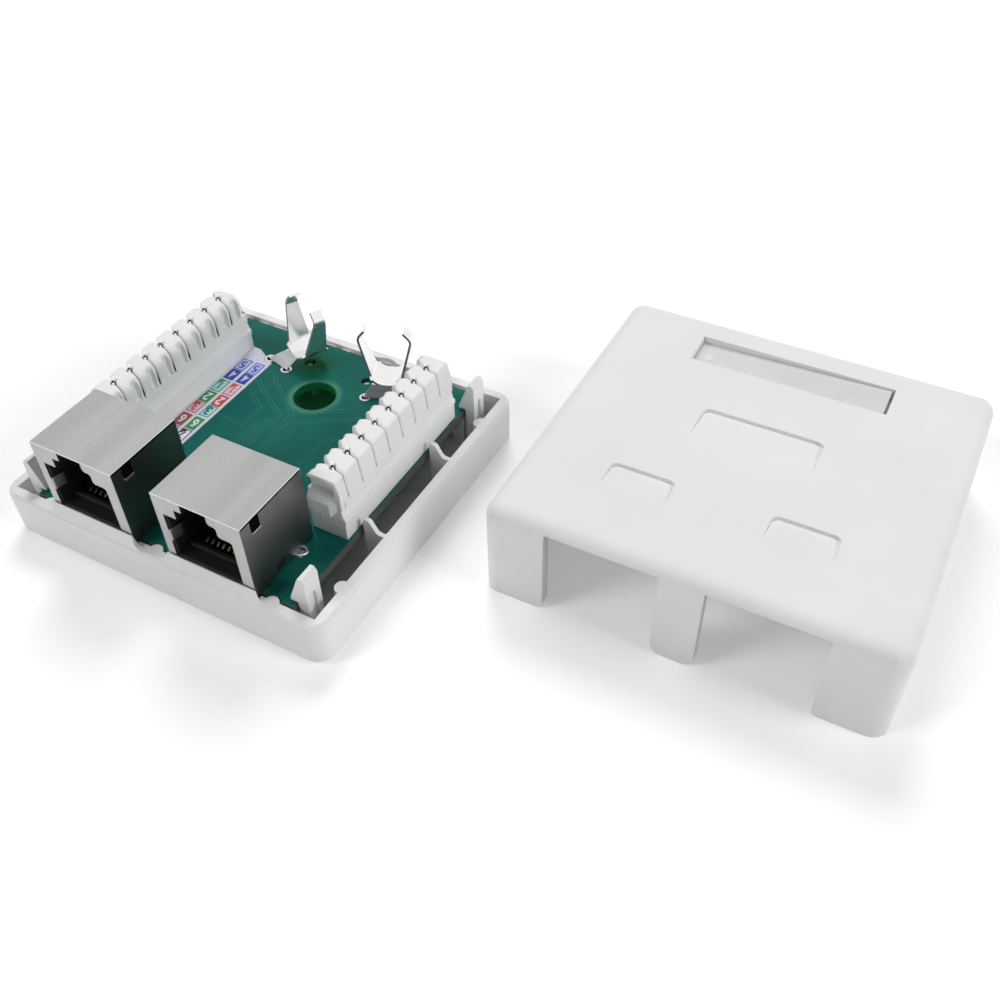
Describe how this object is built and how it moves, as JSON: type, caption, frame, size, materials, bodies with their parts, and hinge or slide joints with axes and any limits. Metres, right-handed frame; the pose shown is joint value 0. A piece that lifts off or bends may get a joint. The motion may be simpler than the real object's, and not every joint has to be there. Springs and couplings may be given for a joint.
{
  "type": "surface mount jack box",
  "caption": "White surface mount jack box, its clip-on cover taken off and laid beside it: green circuit board, shielded jacks, punch-down blocks and sprung cable clips in a shallow tray.",
  "frame": {"origin": "middle of the base tray's flat underside, where it meets the wall", "axes": "+Z away from the wall, -Y the way the jacks face, +X along the row of jacks towards the cover lying beside the tray"},
  "size_m": [0.1374, 0.0852, 0.0233],
  "materials": {
    "tray_plastic": "moulded, satin",
    "cover_plastic": "moulded, satin",
    "board_laminate": "green lacquer over laminate",
    "solder": "bright tin",
    "shield_metal": "rolled, satin",
    "black_plastic": "moulded, matt",
    "gold_wire": "plated",
    "block_plastic": "moulded, satin",
    "blade_metal": "tinned",
    "clip_metal": "bright tinned spring sheet",
    "label_paper": "printed colour fields",
    "window_plastic": "clear, over white card",
    "card_paper": "plain"
  },
  "bodies": {
    "base": {"base_tray": "tray_plastic", "circuit_board": "board_laminate", "solder_pads": "solder", "wiring_label": "label_paper", "jack_shield_left": "shield_metal", "jack_shield_right": "shield_metal", "jack_housing_left": "black_plastic", "jack_housing_right": "black_plastic", "jack_insert_left": "black_plastic", "jack_insert_right": "black_plastic", "jack_contacts_left": "gold_wire", "jack_contacts_right": "gold_wire", "punch_base_left": "block_plastic", "punch_base_right": "block_plastic", "punch_comb_left": "block_plastic", "punch_comb_right": "block_plastic", "punch_contacts_left": "blade_metal", "punch_contacts_right": "blade_metal", "cable_clip_left": "clip_metal", "cable_clip_right": "clip_metal"},
    "cover": {"cover_shell": "cover_plastic", "label_window": "window_plastic", "label_card": "card_paper"}
  },
  "joints": [
    {"name": "cover_lift", "type": "slide", "parent": "base", "child": "cover", "axis": [0, 0, 1], "range_m": [0, 0.04]}
  ]
}
